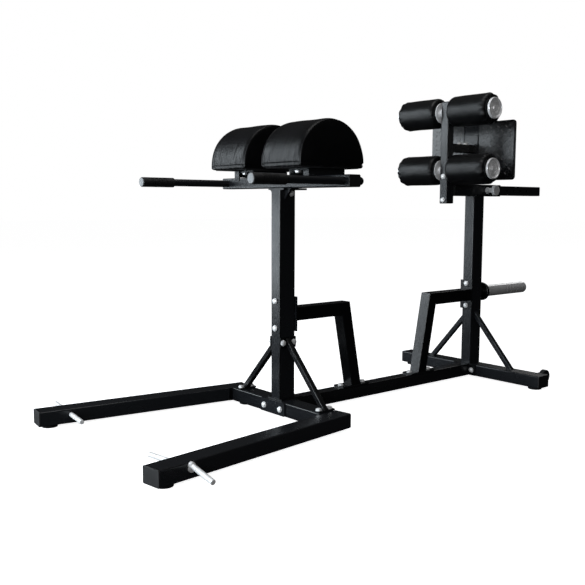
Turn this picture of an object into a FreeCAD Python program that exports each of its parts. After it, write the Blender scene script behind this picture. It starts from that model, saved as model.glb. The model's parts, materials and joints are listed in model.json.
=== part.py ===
import FreeCAD, Part
import math
import os
from FreeCAD import Vector

# Glute-ham style roman chair. Millimetres, +Z up, origin on the floor under the middle
# of the machine. +Y runs from the hip pads towards the ankle rollers, +X is the right side.

# ---- driving dimensions ------------------------------------------------------------
WIDE = 70.0             # wide side of the frame tube
HIGH = 50.0             # narrow side of the frame tube
WALL = 3.0              # wall of the frame tube
THIN_WALL = 2.5         # wall of the carriage tubes and of the handles
CORNER = 5.0            # outer corner radius of the frame tube
PLATE = 6.0             # flange and foot plates
FOOT = 10.0             # rubber foot height
FOOT_R = 28.5
REAR_FOOT_X = 332.0
BASE_TOP = FOOT + HIGH  # top face of every floor tube
BASE_MID = FOOT + HIGH / 2
FLANGE_Z = (FOOT + 2.0, BASE_TOP - 1.0)     # height of the upright flanges between floor tubes

FRONT_Y = -380.0        # centre of the front post
REAR_Y = 685.0          # centre of the rear post and of the rear floor tube
CROSS_Y = -388.0        # centre of the front floor tube
REAR_HALF = 369.0       # half length of the rear floor tube, without its end caps
CAP = 4.0               # visible thickness of a tube end cap
CAP_PLUG = 12.0         # length of the end cap inside the tube
GAP = 0.25              # clearance between a plug and the tube round it

SPLAY = math.radians(7.5)   # each front leg turns outwards by this much
LEG_ROOT = Vector(276.0, -347.0, BASE_MID)
LEG_LENGTH = 792.3
LEG_FACE_GAP = 5.0      # thickness of the end flange between floor tube and leg
CLAMP_HALF = 68.0       # half length of the front clamp plate
BEAM_FLANGE_HALF = 58.0

PEG_ALONG = 688.0       # from the leg's root to the band peg
PEG_HALF = 149.0
PEG_Z = 40.0
PEG_R = 8.0
PEG_COLLAR_R = 10.0
PEG_COLLAR = 6.0        # length of the collar against the leg's outer face
PEG_ROOT_Z = 50.0       # the right peg's outer arm is bent: it starts here and droops
PEG_TIP_Z = 32.0
PEG_TIP_ALONG = 705.0
BENT_COLLAR = 8.0       # length of the collar that is square to the bent arm

POST_TOP = 800.0        # top of the front post, under the saddle plate
ARM_Z = 826.0           # centre of the cross arm and of the handles
ARM_HIGH = 40.0
ARM_DEEP = 50.0
ARM_Y = -370.0          # centre of the cross arm, a little behind the post's centre
ARM_HALF = 344.0
SADDLE_HALF = 42.0
SADDLE_AHEAD = 33.0     # the saddle plate's reach from the post's centre
SADDLE_BEHIND = 72.0
GUSSET_WIDE = 34.0
GUSSET_HIGH = 40.0
SPIGOT = 60.0           # length of the arm's spigot inside the post
SPIGOT_GAP = 0.4
HANDLE_X = 318.0
HANDLE_R = 12.7
HANDLE_FRONT = -757.0
HANDLE_REAR = -322.0
GRIP_R = 17.0
GRIP_LENGTH = 125.0
GRIP_GROOVES = 7
GROOVE_FIRST = 34.0     # from the grip's front end to its first groove
GROOVE_PITCH = 9.0
GROOVE_DEEP = 1.6
PLUG_HEAD = 3.0

PAD_BASE = 869.0        # underside of the hip pads
PAD_Y = -374.0
PAD_R = 143.0           # radius of the half-round section
PAD_SIDE = 18.0         # straight side below the half round
PAD_INNER = 42.0
PAD_OUTER = 253.0
BOARD = 12.0            # board let into the pad's underside
BOARD_INSET = 14.0      # from the pad's outline to its board
PAD_EDGE = 8.0          # radius of the pad's end edges
BRACKET_X = (100.0, 205.0)
BRACKET_AHEAD = 62.0    # the pad bracket's reach from the pad's middle line
BRACKET_BEHIND = 93.0
BRACKET_WALL = 5.0
TAB_WIDE = 26.0
TAB_DROP = 12.0         # the bracket's front tab hangs this far below the arm's top

STEP_HIGH = 50.0
STEP_TOP = 388.0        # top of each step
STEP_REACH = 270.0      # from the post face to the step's outer corner
STEP_LEAN = math.tan(math.radians(11.0))
STEP_BOLTS = (316.0, 412.0)
STEP_DEPTH = 48.0       # depth of the step's leg along the machine
STEP_FOOT_HALF = 69.0
BOLT_EDGE = 14.0        # from a bolt to the end of its flange

BRACE = 20.0            # side of the square brace tube
RIGHT_BRACE_FOOT = 230.0    # the front braces' feet, from the middle plane
LEFT_BRACE_FOOT = 210.0
REAR_BRACE_Z = 272.0
REAR_BRACE_FOOT = 212.0
SLEEVE_Z = 370.0        # weight sleeve height
SLEEVE_R = 25.0
SLEEVE_WALL = 3.0
SLEEVE_LENGTH = 294.0
STUB = 316.0            # length of the inner pipe
STOP_START = 24.0       # the stop disc, from the rear post's face
STOP_END = 38.0
STOP_R = 40.0

GUIDE_FRONT = 526.0
GUIDE_REAR = 829.0
GUIDE_SIZE = 50.0
GUIDE_WALL = 2.0
REAR_POST_TOP = 787.0
SLIDE_Z = REAR_POST_TOP + GUIDE_SIZE / 2
SLIDE_SIZE = 42.0
SLIDE_GAP = 0.4         # clearance between the slide tube and each bush wall
SLIDE_REAR = 1137.0
PIN_Y = 735.0
PIN_R = 5.0
PIN_COLLAR_R = 7.2
BARREL_R = 10.0
BARREL = 30.0           # from the guide's side to the barrel's end
SPRING_ROOM = 26.0      # depth of the wide bore inside the barrel
KNOB_R = 22.0
KNOB_NECK = 6.0
KNOB = 16.0
BUSH_LIP = 4.0
BUSH_DEEP = 28.0
HOLE_PITCH = 50.0
HOLE_COUNT = 7

UPRIGHT_Y = 493.0
UPRIGHT = 38.0
FOOT_ARM = 35.0         # side of the short arm behind the upright
UPRIGHT_LOW = 755.0
UPRIGHT_HIGH = 1171.0
UPRIGHT_BOLTS = (770.0, 867.0)
ROLLER_HEIGHTS = {"lower": 893.0, "upper": 1127.0}
ROLLER_R = 63.0
ROLLER_INNER = 33.0
ROLLER_OUTER = 227.0
DISC_R = 42.0           # outer and inner discs of the rollers
SPACER = 9.0            # from the upright to the inner disc
DISC = 4.0              # thickness of the inner disc
CAP_GAP = 1.5           # from a roller to its outer disc
CAP_DISC = 8.0          # thickness of the outer disc
ROLLER_EDGE = 13.0
AXLE_R = 12.5
RUNNING = 0.08          # radial running clearance
AXLE_SLACK = 0.2        # radial clearance of an axle in the upright and the collars

PLATE_FRONT = 655.5     # front face of the foot plate
TREAD = 4.0             # thickness of the rubber tread
TREAD_INNER = 40.0
TREAD_EDGE = 5.0        # from the foot plate's edge to the tread
PLATE_HALF = 219.0
PLATE_LOW = 853.0
PLATE_HIGH = 1096.0
FOOT_ARM_Z = 985.0

WHEEL_X = 330.0
WHEEL_R = 28.0
WHEEL_WIDE = 20.0
WHEEL_Y = 752.0
WHEEL_Z = 42.0
WHEEL_AXLE_R = 5.0
EAR = 4.0               # thickness of the wheel bracket's ears
EAR_GAP = 1.0           # between an ear and the wheel

BOLT_R = 5.0
HOLE_R = 5.3
HEAD_R = 8.5
HEAD_HIGH = 6.5
WASHER_R = 10.5
WASHER = 2.0

UP = Vector(0, 0, 1)
X_AXIS = Vector(1, 0, 0)
Y_AXIS = Vector(0, 1, 0)


# ---- helpers -----------------------------------------------------------------------
def save(name, *shapes):
    """Write one node: one solid, or a group of separate solids."""
    shape = shapes[0] if len(shapes) == 1 else Part.makeCompound(list(shapes))
    shape.exportStep("parts/" + name + ".step")


def fuse(first, *others):
    shape = first.fuse(list(others)).removeSplitter()
    return shape.Solids[0] if len(shape.Solids) == 1 else shape


def block(x, y, z):
    """Box from three (low, high) pairs."""
    return Part.makeBox(x[1] - x[0], y[1] - y[0], z[1] - z[0], Vector(x[0], y[0], z[0]))


def around(centre, half):
    return (centre - half, centre + half)


def rod(start, end, radius):
    along = end - start
    return Part.makeCylinder(radius, along.Length, start, along)


def ring(start, end, outer, inner):
    return rod(start, end, outer).cut(rod(start, end, inner))


def rounded_face(centre, side, up, wide, high, radius):
    """Rectangle with round corners, in the plane of side and up."""
    corners = ((1, 1, 0), (-1, 1, 90), (-1, -1, 180), (1, -1, 270))
    points = []
    arcs = []
    for sx, sy, turn in corners:
        mid = centre + side * (sx * (wide / 2 - radius)) + up * (sy * (high / 2 - radius))
        ring_points = []
        for degrees in (turn, turn + 45, turn + 90):
            angle = math.radians(degrees)
            ring_points.append(mid + (side * math.cos(angle) + up * math.sin(angle)) * radius)
        arcs.append(Part.Arc(*ring_points).toShape())
        points.append((ring_points[0], ring_points[2]))
    edges = []
    for index, arc in enumerate(arcs):
        edges.append(arc)
        edges.append(Part.LineSegment(points[index][1], points[(index + 1) % 4][0]).toShape())
    return Part.Face(Part.Wire(edges))


def bar(start, end, side, wide, high, radius=CORNER):
    """Solid rectangular bar with round long edges; wide is measured along side."""
    along = end - start
    up = along.cross(side).normalize()
    return rounded_face(start, side, up, wide, high, radius).extrude(along)


def tube(start, end, side, wide, high, wall=WALL, radius=CORNER):
    inner = bar(start, end, side, wide - 2 * wall, high - 2 * wall, radius - wall)
    return bar(start, end, side, wide, high, radius).cut(inner)


def end_cap(end, outward, side, wide, high, wall=WALL, plug_length=CAP_PLUG):
    """Ribbed plastic cap: an outer plate and a plug that slips into the tube."""
    plate = bar(end, end + outward * CAP, side, wide, high, CORNER)
    rim = [edge for edge in plate.Edges if (edge.CenterOfMass - end).dot(outward) > CAP - 0.01]
    plate = plate.makeFillet(1.5, rim)
    inset = 2 * (wall + GAP)
    plug = bar(end - outward * plug_length, end, side, wide - inset, high - inset, 2.0)
    return fuse(plate, plug)


def mirrored(shape):
    return shape.mirror(Vector(0, 0, 0), X_AXIS)


def hexagon(start, along, radius, height):
    """Hexagonal prism on start, radius across the flats."""
    side = along.cross(Vector(0.3, 0.5, 0.8)).normalize()
    up = along.cross(side)
    reach = radius / math.cos(math.pi / 6)
    points = []
    for corner in range(7):
        angle = math.radians(60 * corner)
        points.append(start + (side * math.cos(angle) + up * math.sin(angle)) * reach)
    return Part.Face(Part.makePolygon(points)).extrude(along * height)


def bolt(seat, into, grip, nut=True):
    """Hex bolt whose head sits on seat; grip runs to the nut along into."""
    out = into * -1
    washer = rod(seat, seat + out * WASHER, WASHER_R)
    head = hexagon(seat + out * WASHER, out, HEAD_R, HEAD_HIGH)
    crown = Part.makeSphere(HEAD_R * 1.9, seat + into * (HEAD_R * 1.9 - WASHER - HEAD_HIGH - 0.3))
    pieces = [washer, head.common(crown)]
    if not nut:
        return fuse(rod(seat + out * WASHER, seat + into * grip, BOLT_R), *pieces)
    far = seat + into * grip
    pieces.append(rod(far, far + into * WASHER, WASHER_R))
    pieces.append(hexagon(far + into * WASHER, into, HEAD_R, HEAD_HIGH))
    shank_end = far + into * (WASHER + HEAD_HIGH + 1.0)
    return fuse(rod(seat + out * WASHER, shank_end, BOLT_R), *pieces)


def drill(shape, seats, into, depth):
    """Clearance holes at each seat, along into."""
    for seat in seats:
        shape = shape.cut(rod(seat - into, seat + into * depth, HOLE_R))
    return shape


# ---- bolt seats --------------------------------------------------------------------
CLAMP_FACE = CROSS_Y - WIDE / 2 - PLATE
CLAMP_SEATS = [Vector(x, CLAMP_FACE, BASE_MID) for x in (-45.0, 45.0)]
CLAMP_GRIP = WIDE + 2 * PLATE

REAR_FACE = REAR_Y - WIDE / 2
BEAM_SEATS = [Vector(x, REAR_FACE - PLATE, BASE_MID) for x in (-40.0, 40.0)]
BEAM_GRIP = WIDE + PLATE

FRONT_STEP_SEATS = [Vector(0, FRONT_Y - WIDE / 2, z) for z in STEP_BOLTS]
REAR_STEP_SEATS = [Vector(0, REAR_FACE - PLATE, z) for z in STEP_BOLTS]

STEP_FOOT_SEATS = [Vector(0, y, BASE_TOP + PLATE) for y in (-97.0, 18.0, 287.0, 402.0)]
FLOOR_TAIL = PLATE + WALL + 6.0     # length of a vertical bolt below its head

BRACE_Z = 266.0
BRACE_TOP_SEATS = [Vector(HIGH / 2 + LEG_FACE_GAP, FRONT_Y + y, BRACE_Z) for y in (-24.0, 24.0)]
BRACE_TOP_GRIP = HIGH + 2 * LEG_FACE_GAP

SPIGOT_SEATS = [Vector(HIGH / 2, FRONT_Y + 15.0, 788.0)]

UPRIGHT_FACE = UPRIGHT_Y - UPRIGHT / 2
UPRIGHT_SEATS = [Vector(0, UPRIGHT_FACE, z) for z in UPRIGHT_BOLTS]
UPRIGHT_GRIP = UPRIGHT + PLATE
ARM_TOP = FOOT_ARM_Z + FOOT_ARM / 2
FOOT_ARM_SEATS = [Vector(0, y, ARM_TOP) for y in (573.0, 613.0)]

PAD_BOLT_X = (118.0, 182.0)
PAD_SEATS = [Vector(x, PAD_Y + y, PAD_BASE - PLATE) for x in PAD_BOLT_X for y in (-40.0, 68.0)]
DOWN = UP * -1
BACK = Y_AXIS * -1


def brace_foot_seats(foot_x):
    return [Vector(foot_x, CROSS_Y + y, BASE_TOP + PLATE) for y in (-24.0, 24.0)]


# ---- floor frame -------------------------------------------------------------------
def leg_forward():
    return Vector(math.sin(SPLAY), -math.cos(SPLAY), 0)


def leg_side():
    return Vector(math.cos(SPLAY), math.sin(SPLAY), 0)


def leg_slab(inner, outer, start, end, z):
    """Block in the right leg's own frame: inner and outer are offsets from its middle line."""
    box = block((inner, outer), (-end, -start), z)
    box.rotate(Vector(0, 0, 0), UP, math.degrees(SPLAY))
    box.translate(Vector(LEG_ROOT.x, LEG_ROOT.y, 0))
    return box


def leg_point(along, side, z):
    """Point beside the right leg: along from its root, side outwards from its middle line."""
    point = LEG_ROOT + leg_forward() * along + leg_side() * side
    return Vector(point.x, point.y, z)


def front_leg():
    tip = LEG_ROOT + leg_forward() * LEG_LENGTH
    leg = tube(LEG_ROOT, tip, leg_side(), WIDE, HIGH)
    hole = rod(leg_point(PEG_ALONG, -WIDE, PEG_Z), leg_point(PEG_ALONG, WIDE, PEG_Z), PEG_R + GAP)
    return leg.cut(hole)


def peg_rod(start, end):
    """Round bar with a rounded far end."""
    peg = rod(start, end, PEG_R)
    far = [edge for edge in peg.Edges if edge.Closed and (edge.CenterOfMass - end).Length < 1.0]
    return peg.makeFillet(2.0, far)


def straight_peg():
    """Steel rod square through the leg, with a collar against the leg's outer face."""
    middle = leg_point(PEG_ALONG, 0, PEG_Z)
    outer = peg_rod(middle, leg_point(PEG_ALONG, PEG_HALF, PEG_Z))
    inner = peg_rod(middle, leg_point(PEG_ALONG, -PEG_HALF, PEG_Z))
    face = leg_point(PEG_ALONG, WIDE / 2, PEG_Z)
    return fuse(outer, inner, rod(face, face + leg_side() * PEG_COLLAR, PEG_COLLAR_R))


def drooping_peg():
    """Rod through the leg whose outer arm is bent at its collars and hangs down a little."""
    face = leg_point(PEG_ALONG, WIDE / 2, PEG_Z)
    root = leg_point(PEG_ALONG, WIDE / 2 + PEG_COLLAR / 2, PEG_ROOT_Z)
    tip = leg_point(PEG_TIP_ALONG, PEG_HALF - 3.0, PEG_TIP_Z)
    inner = peg_rod(face + leg_side() * PEG_COLLAR, leg_point(PEG_ALONG, -PEG_HALF, PEG_Z))
    high_face = leg_point(PEG_ALONG, WIDE / 2, PEG_ROOT_Z)
    collars = [rod(start, start + leg_side() * PEG_COLLAR, PEG_COLLAR_R) for start in (face, high_face)]
    bend = (tip - root).normalize()
    collars.append(rod(root, root + bend * BENT_COLLAR, PEG_COLLAR_R))
    return fuse(inner, peg_rod(root, tip), *collars)


def leg_caps():
    tip = LEG_ROOT + leg_forward() * LEG_LENGTH
    front = end_cap(tip, leg_forward(), leg_side(), WIDE, HIGH)
    rear = end_cap(LEG_ROOT, leg_forward() * -1, leg_side(), WIDE, HIGH)
    return [front, rear, mirrored(front), mirrored(rear)]


def front_cross_beam():
    """Floor tube between the legs, mitred to their splay, with a flange on each end."""
    reach = LEG_ROOT.x
    beam = tube(Vector(-reach, CROSS_Y, BASE_MID), Vector(reach, CROSS_Y, BASE_MID), Y_AXIS, WIDE, HIGH)
    leg_inner = -WIDE / 2
    beyond = leg_slab(leg_inner - LEG_FACE_GAP, WIDE, -2 * WIDE, 3 * WIDE, (0, BASE_TOP + PLATE))
    root_to_beam = (LEG_ROOT.y - CROSS_Y) / math.cos(SPLAY)
    flange = leg_slab(leg_inner - LEG_FACE_GAP, leg_inner, root_to_beam - 38.0, root_to_beam + 46.0, FLANGE_Z)
    beam = beam.cut(beyond).cut(mirrored(beyond))
    beam = fuse(beam, flange, mirrored(flange))
    beam = drill(beam, CLAMP_SEATS, Y_AXIS, CLAMP_GRIP)
    for foot_x in (RIGHT_BRACE_FOOT, -LEFT_BRACE_FOOT):
        beam = drill(beam, brace_foot_seats(foot_x), DOWN, FLOOR_TAIL)
    return beam


def front_clamp_plate():
    plate = block(around(0, CLAMP_HALF), (CLAMP_FACE, CLAMP_FACE + PLATE), FLANGE_Z)
    edges = [edge for edge in plate.Edges if abs(edge.tangentAt(edge.FirstParameter).y) > 0.9]
    return drill(plate.makeFillet(4.0, edges), CLAMP_SEATS, Y_AXIS, PLATE + 1)


def main_beam():
    front = CROSS_Y + WIDE / 2
    beam = tube(Vector(0, front + PLATE, BASE_MID), Vector(0, REAR_FACE - PLATE, BASE_MID), X_AXIS, HIGH, HIGH)
    front_flange = block(around(0, BEAM_FLANGE_HALF), (front, front + PLATE), FLANGE_Z)
    rear_flange = block(around(0, BEAM_FLANGE_HALF), (REAR_FACE - PLATE, REAR_FACE), FLANGE_Z)
    beam = fuse(beam, front_flange, rear_flange)
    beam = drill(beam, CLAMP_SEATS, Y_AXIS, CLAMP_GRIP)
    beam = drill(beam, BEAM_SEATS, Y_AXIS, BEAM_GRIP)
    return drill(beam, STEP_FOOT_SEATS, DOWN, FLOOR_TAIL)


def rear_cross_beam():
    middle = Vector(0, REAR_Y, BASE_MID)
    beam = tube(middle - X_AXIS * REAR_HALF, middle + X_AXIS * REAR_HALF, Y_AXIS, WIDE, HIGH)
    return drill(beam, BEAM_SEATS, Y_AXIS, BEAM_GRIP + 1)


def rear_beam_caps():
    cap = end_cap(Vector(REAR_HALF, REAR_Y, BASE_MID), X_AXIS, Y_AXIS, WIDE, HIGH)
    return [cap, mirrored(cap)]


def rubber_foot(x, y):
    """Round foot with a tapered side."""
    cone = Part.makeCone(FOOT_R - 2.0, FOOT_R, FOOT, Vector(x, y, 0))
    low = [edge for edge in cone.Edges if edge.CenterOfMass.z < 0.1 and edge.Closed]
    return cone.makeFillet(1.5, low)


def rubber_feet():
    tip = LEG_ROOT + leg_forward() * (LEG_LENGTH - 40.0)
    spots = [(tip.x, tip.y), (214.0, CROSS_Y + 5.0), (REAR_FOOT_X, REAR_Y)]
    return [rubber_foot(side * x, y) for x, y in spots for side in (1, -1)]


# ---- posts, braces and steps -------------------------------------------------------
def front_post():
    """Rectangular post on a foot plate that laps over the main beam."""
    foot_top = BASE_TOP + PLATE
    post = tube(Vector(0, FRONT_Y, foot_top), Vector(0, FRONT_Y, POST_TOP), X_AXIS, HIGH, WIDE)
    foot = block(around(0, 38.0), (FRONT_Y - WIDE / 2 - 2.0, FRONT_Y + WIDE / 2 + 24.0), (BASE_TOP, foot_top))
    post = fuse(post, foot)
    post = drill(post, FRONT_STEP_SEATS, Y_AXIS, WIDE + 1)
    post = drill(post, BRACE_TOP_SEATS, X_AXIS * -1, BRACE_TOP_GRIP)
    return drill(post, SPIGOT_SEATS, X_AXIS * -1, HIGH + 1)


def rear_post():
    post = tube(Vector(0, REAR_Y, BASE_TOP), Vector(0, REAR_Y, REAR_POST_TOP), X_AXIS, HIGH, WIDE)
    return drill(post, REAR_STEP_SEATS, Y_AXIS, WIDE + PLATE + 1)


def brace_tube(top, foot, post_face, floor):
    """Square brace cut square to the post face and to the floor tube."""
    along = (foot - top).normalize()
    beyond = along * (2 * BRACE)
    raw = tube(top - beyond, foot + beyond, Y_AXIS, BRACE, BRACE, 2.0, 3.0)
    room = block((post_face, REAR_HALF), around(top.y, WIDE), (floor, POST_TOP))
    return raw.common(room)


def front_brace(foot_x):
    """Right-hand brace with a flange on the post's side and a flange on the floor tube."""
    face = HIGH / 2 + LEG_FACE_GAP
    floor = BASE_TOP + PLATE
    top = Vector(face, FRONT_Y, BRACE_Z)
    foot = Vector(foot_x, CROSS_Y, floor)
    stem = brace_tube(top, foot, face, floor)
    top_flange = block((HIGH / 2, face), around(FRONT_Y, 35.0), around(BRACE_Z, 19.0))
    foot_flange = block(around(foot_x, 15.0), around(CROSS_Y, 36.0), (BASE_TOP, floor))
    brace = fuse(stem, top_flange, foot_flange)
    brace = drill(brace, BRACE_TOP_SEATS, X_AXIS * -1, BRACE_TOP_GRIP)
    return drill(brace, brace_foot_seats(foot_x), DOWN, PLATE + 1)


def rear_brace():
    top = Vector(HIGH / 2, REAR_Y, REAR_BRACE_Z)
    foot = Vector(REAR_BRACE_FOOT, REAR_Y, BASE_TOP)
    return brace_tube(top, foot, HIGH / 2, BASE_TOP)


def step_outline(inset):
    """Closed outline of the step in the plane of Y and Z, leaving the post at y = 0."""
    top = STEP_TOP - inset
    under = STEP_TOP - STEP_HIGH + inset
    foot = BASE_TOP + PLATE
    slant = STEP_DEPTH - 2 * inset
    outer = STEP_REACH - inset
    inner_run = outer - slant
    points = [
        (PLATE, under),
        (PLATE, top),
        (outer + STEP_LEAN * inset, top),
        (outer + STEP_LEAN * (STEP_TOP - foot), foot),
        (inner_run + STEP_LEAN * (STEP_TOP - foot), foot),
        (inner_run + STEP_LEAN * (STEP_TOP - under), under),
    ]
    return Part.Face(Part.makePolygon([Vector(0, y, z) for y, z in points + points[:1]]))


def step(face_y, direction, seats, foot_seats):
    """Mitred step bracket from a post's flange down to a foot flange on the main beam."""
    outer = step_outline(0).extrude(X_AXIS * HIGH)
    outer.translate(X_AXIS * (-HIGH / 2))
    long_edges = [edge for edge in outer.Edges if abs(abs(edge.CenterOfMass.x) - HIGH / 2) < 0.01
                  and edge.CenterOfMass.y > PLATE + 1 and edge.CenterOfMass.z > BASE_TOP + PLATE + 1]
    outer = outer.makeFillet(CORNER - 1, long_edges)
    inner = step_outline(WALL).extrude(X_AXIS * (HIGH - 2 * WALL))
    inner.translate(X_AXIS * (WALL - HIGH / 2))
    post_flange = block(around(0, 31.0), (0, PLATE), (STEP_BOLTS[0] - BOLT_EDGE, STEP_BOLTS[1] + BOLT_EDGE))
    foot_y = sum(abs(seat.y - face_y) for seat in foot_seats) / 2
    foot_flange = block(around(0, 26.0), around(foot_y, STEP_FOOT_HALF), (BASE_TOP, BASE_TOP + PLATE))
    shape = fuse(outer.cut(inner), post_flange, foot_flange)
    if direction < 0:
        shape = shape.mirror(Vector(0, 0, 0), Y_AXIS)
    shape.translate(Y_AXIS * face_y)
    shape = drill(shape, seats, Y_AXIS, WIDE + PLATE + 1)
    return drill(shape, foot_seats, DOWN, PLATE + 1)


# ---- hip end -----------------------------------------------------------------------
def gusset():
    """Triangular plate between the post's front edge and the arm."""
    x = HIGH / 2
    y = ARM_Y - ARM_DEEP / 2
    top = ARM_Z - ARM_HIGH / 2
    corner = Vector(x, y, top)
    points = [corner, corner + X_AXIS * GUSSET_WIDE, corner + DOWN * GUSSET_HIGH, corner]
    return Part.Face(Part.makePolygon(points)).extrude(Y_AXIS * PLATE)


def handle_holes():
    cuts = []
    for x in (HANDLE_X, -HANDLE_X):
        cuts.append(rod(Vector(x, ARM_Y - WIDE, ARM_Z), Vector(x, ARM_Y + WIDE, ARM_Z), HANDLE_R + GAP))
    return cuts


def top_arm():
    """Cross arm with saddle plate, gussets and a spigot that drops into the post."""
    under = ARM_Z - ARM_HIGH / 2
    arm = tube(Vector(-ARM_HALF, ARM_Y, ARM_Z), Vector(ARM_HALF, ARM_Y, ARM_Z), Y_AXIS, ARM_DEEP, ARM_HIGH)
    saddle = block(around(0, SADDLE_HALF), (FRONT_Y - SADDLE_AHEAD, FRONT_Y + SADDLE_BEHIND), (POST_TOP, under))
    inset = WALL + SPIGOT_GAP
    top = Vector(0, FRONT_Y, POST_TOP)
    spigot = tube(top + DOWN * SPIGOT, top, X_AXIS, HIGH - 2 * inset, WIDE - 2 * inset, WALL, 4.0)
    arm = fuse(arm, saddle, spigot)
    for cut in handle_holes():
        arm = arm.cut(cut)
    arm = fuse(arm, gusset(), mirrored(gusset()))
    return drill(arm, SPIGOT_SEATS, X_AXIS * -1, HIGH + 1)


def top_arm_caps():
    cap = end_cap(Vector(ARM_HALF, ARM_Y, ARM_Z), X_AXIS, Y_AXIS, ARM_DEEP, ARM_HIGH)
    return [cap, mirrored(cap)]


def handle():
    front = Vector(HANDLE_X, HANDLE_FRONT, ARM_Z)
    rear = Vector(HANDLE_X, HANDLE_REAR, ARM_Z)
    return ring(front, rear, HANDLE_R, HANDLE_R - THIN_WALL)


def grip():
    """Rubber sleeve with raised end bands and a run of finger ribs."""
    start = Vector(HANDLE_X, HANDLE_FRONT, ARM_Z)
    sleeve = rod(start, start + Y_AXIS * GRIP_LENGTH, GRIP_R)
    for index in range(GRIP_GROOVES):
        groove = start + Y_AXIS * (GROOVE_FIRST + index * GROOVE_PITCH)
        sleeve = sleeve.cut(ring(groove, groove + Y_AXIS * 3.0, GRIP_R + 1, GRIP_R - GROOVE_DEEP))
    return sleeve.cut(rod(start, start + Y_AXIS * GRIP_LENGTH, HANDLE_R + 0.1))


def handle_plug():
    """Pale plug that closes the front of the handle tube."""
    front = Vector(HANDLE_X, HANDLE_FRONT, ARM_Z)
    head = rod(front + BACK * PLUG_HEAD, front, GRIP_R - 1.5)
    face = [edge for edge in head.Edges if edge.Closed and abs(edge.CenterOfMass.y - front.y + PLUG_HEAD) < 0.1]
    head = head.makeFillet(1.2, face)
    return fuse(head, rod(front, front + Y_AXIS * CAP_PLUG, HANDLE_R - THIN_WALL - GAP))


def handle_rear_cap():
    rear = Vector(HANDLE_X, HANDLE_REAR, ARM_Z)
    dome = Part.makeSphere(HANDLE_R + 1.5, rear)
    reach = 2 * HANDLE_R
    behind = block(around(HANDLE_X, reach), (HANDLE_REAR, HANDLE_REAR + reach), around(ARM_Z, reach))
    dome = dome.common(behind)
    return fuse(dome, rod(rear + BACK * CAP_PLUG, rear, HANDLE_R - THIN_WALL - GAP))


def hip_pad_bracket():
    """Channel that rests on the arm and carries one pad board, with a tab in front of the arm."""
    inner, outer = BRACKET_X
    y = (PAD_Y - BRACKET_AHEAD, PAD_Y + BRACKET_BEHIND)
    low = ARM_Z + ARM_HIGH / 2
    top = block(BRACKET_X, y, (PAD_BASE - PLATE, PAD_BASE))
    sides = (inner, outer - BRACKET_WALL)
    flanges = [block((side, side + BRACKET_WALL), y, (low, PAD_BASE - PLATE)) for side in sides]
    tab = block((outer - TAB_WIDE, outer), (y[0] - BRACKET_WALL, y[0]), (low - TAB_DROP, PAD_BASE))
    return drill(fuse(top, tab, *flanges), PAD_SEATS, UP, PLATE + 1)


def board_room(inset):
    """Box in the pad's underside, inset from the pad's outline."""
    x = (PAD_INNER + inset, PAD_OUTER - inset)
    return block(x, around(PAD_Y, PAD_R - inset), (PAD_BASE, PAD_BASE + BOARD))


def pad_board():
    board = board_room(BOARD_INSET)
    corners = [edge for edge in board.Edges if abs(edge.tangentAt(edge.FirstParameter).z) > 0.9]
    return drill(board.makeFillet(8.0, corners), PAD_SEATS, UP, PLATE + BOARD)


def hip_pad():
    """Half-round pad, let out underneath for its board."""
    spring_z = PAD_BASE + PAD_SIDE
    left = Vector(PAD_INNER, PAD_Y - PAD_R, spring_z)
    crown = Vector(PAD_INNER, PAD_Y, spring_z + PAD_R)
    right = Vector(PAD_INNER, PAD_Y + PAD_R, spring_z)
    foot_left = Vector(PAD_INNER, left.y, PAD_BASE)
    foot_right = Vector(PAD_INNER, right.y, PAD_BASE)
    edges = [
        Part.LineSegment(foot_left, left).toShape(),
        Part.Arc(left, crown, right).toShape(),
        Part.LineSegment(right, foot_right).toShape(),
        Part.LineSegment(foot_right, foot_left).toShape(),
    ]
    pad = Part.Face(Part.Wire(edges)).extrude(X_AXIS * (PAD_OUTER - PAD_INNER))
    ends = [edge for edge in pad.Edges if edge.CenterOfMass.z > spring_z + 1
            and abs(edge.CenterOfMass.y - PAD_Y) < 1]
    return pad.makeFillet(PAD_EDGE, ends).cut(board_room(BOARD_INSET - 2 * GAP))


# ---- ankle end ---------------------------------------------------------------------
def guide_sleeve():
    """Square guide on the rear post, with a hole for the pop-pin."""
    start = Vector(0, GUIDE_FRONT, SLIDE_Z)
    end = Vector(0, GUIDE_REAR, SLIDE_Z)
    guide = tube(start, end, X_AXIS, GUIDE_SIZE, GUIDE_SIZE, GUIDE_WALL, 4.0)
    return guide.cut(rod(Vector(0, PIN_Y, SLIDE_Z), Vector(GUIDE_SIZE, PIN_Y, SLIDE_Z), PIN_R + 0.3))


def guide_bush(end_y, direction):
    """Plastic frame that lines one end of the guide, with a lip outside it."""
    lip_end = end_y + direction * BUSH_LIP
    deep = end_y - direction * BUSH_DEEP
    lip = bar(Vector(0, end_y, SLIDE_Z), Vector(0, lip_end, SLIDE_Z), X_AXIS, GUIDE_SIZE, GUIDE_SIZE, 4.0)
    liner_size = GUIDE_SIZE - 2 * GUIDE_WALL - 2 * GAP
    liner = bar(Vector(0, deep, SLIDE_Z), Vector(0, end_y, SLIDE_Z), X_AXIS, liner_size, liner_size, 2.0)
    opening = SLIDE_SIZE + 2 * SLIDE_GAP
    hole = bar(Vector(0, deep - direction, SLIDE_Z), Vector(0, lip_end + direction, SLIDE_Z), X_AXIS,
               opening, opening, 3.0)
    return fuse(lip, liner).cut(hole)


def pin_point(outwards):
    """Point on the pop-pin's axis, measured from the guide's right side."""
    return Vector(GUIDE_SIZE / 2 + outwards, PIN_Y, SLIDE_Z)


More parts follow.
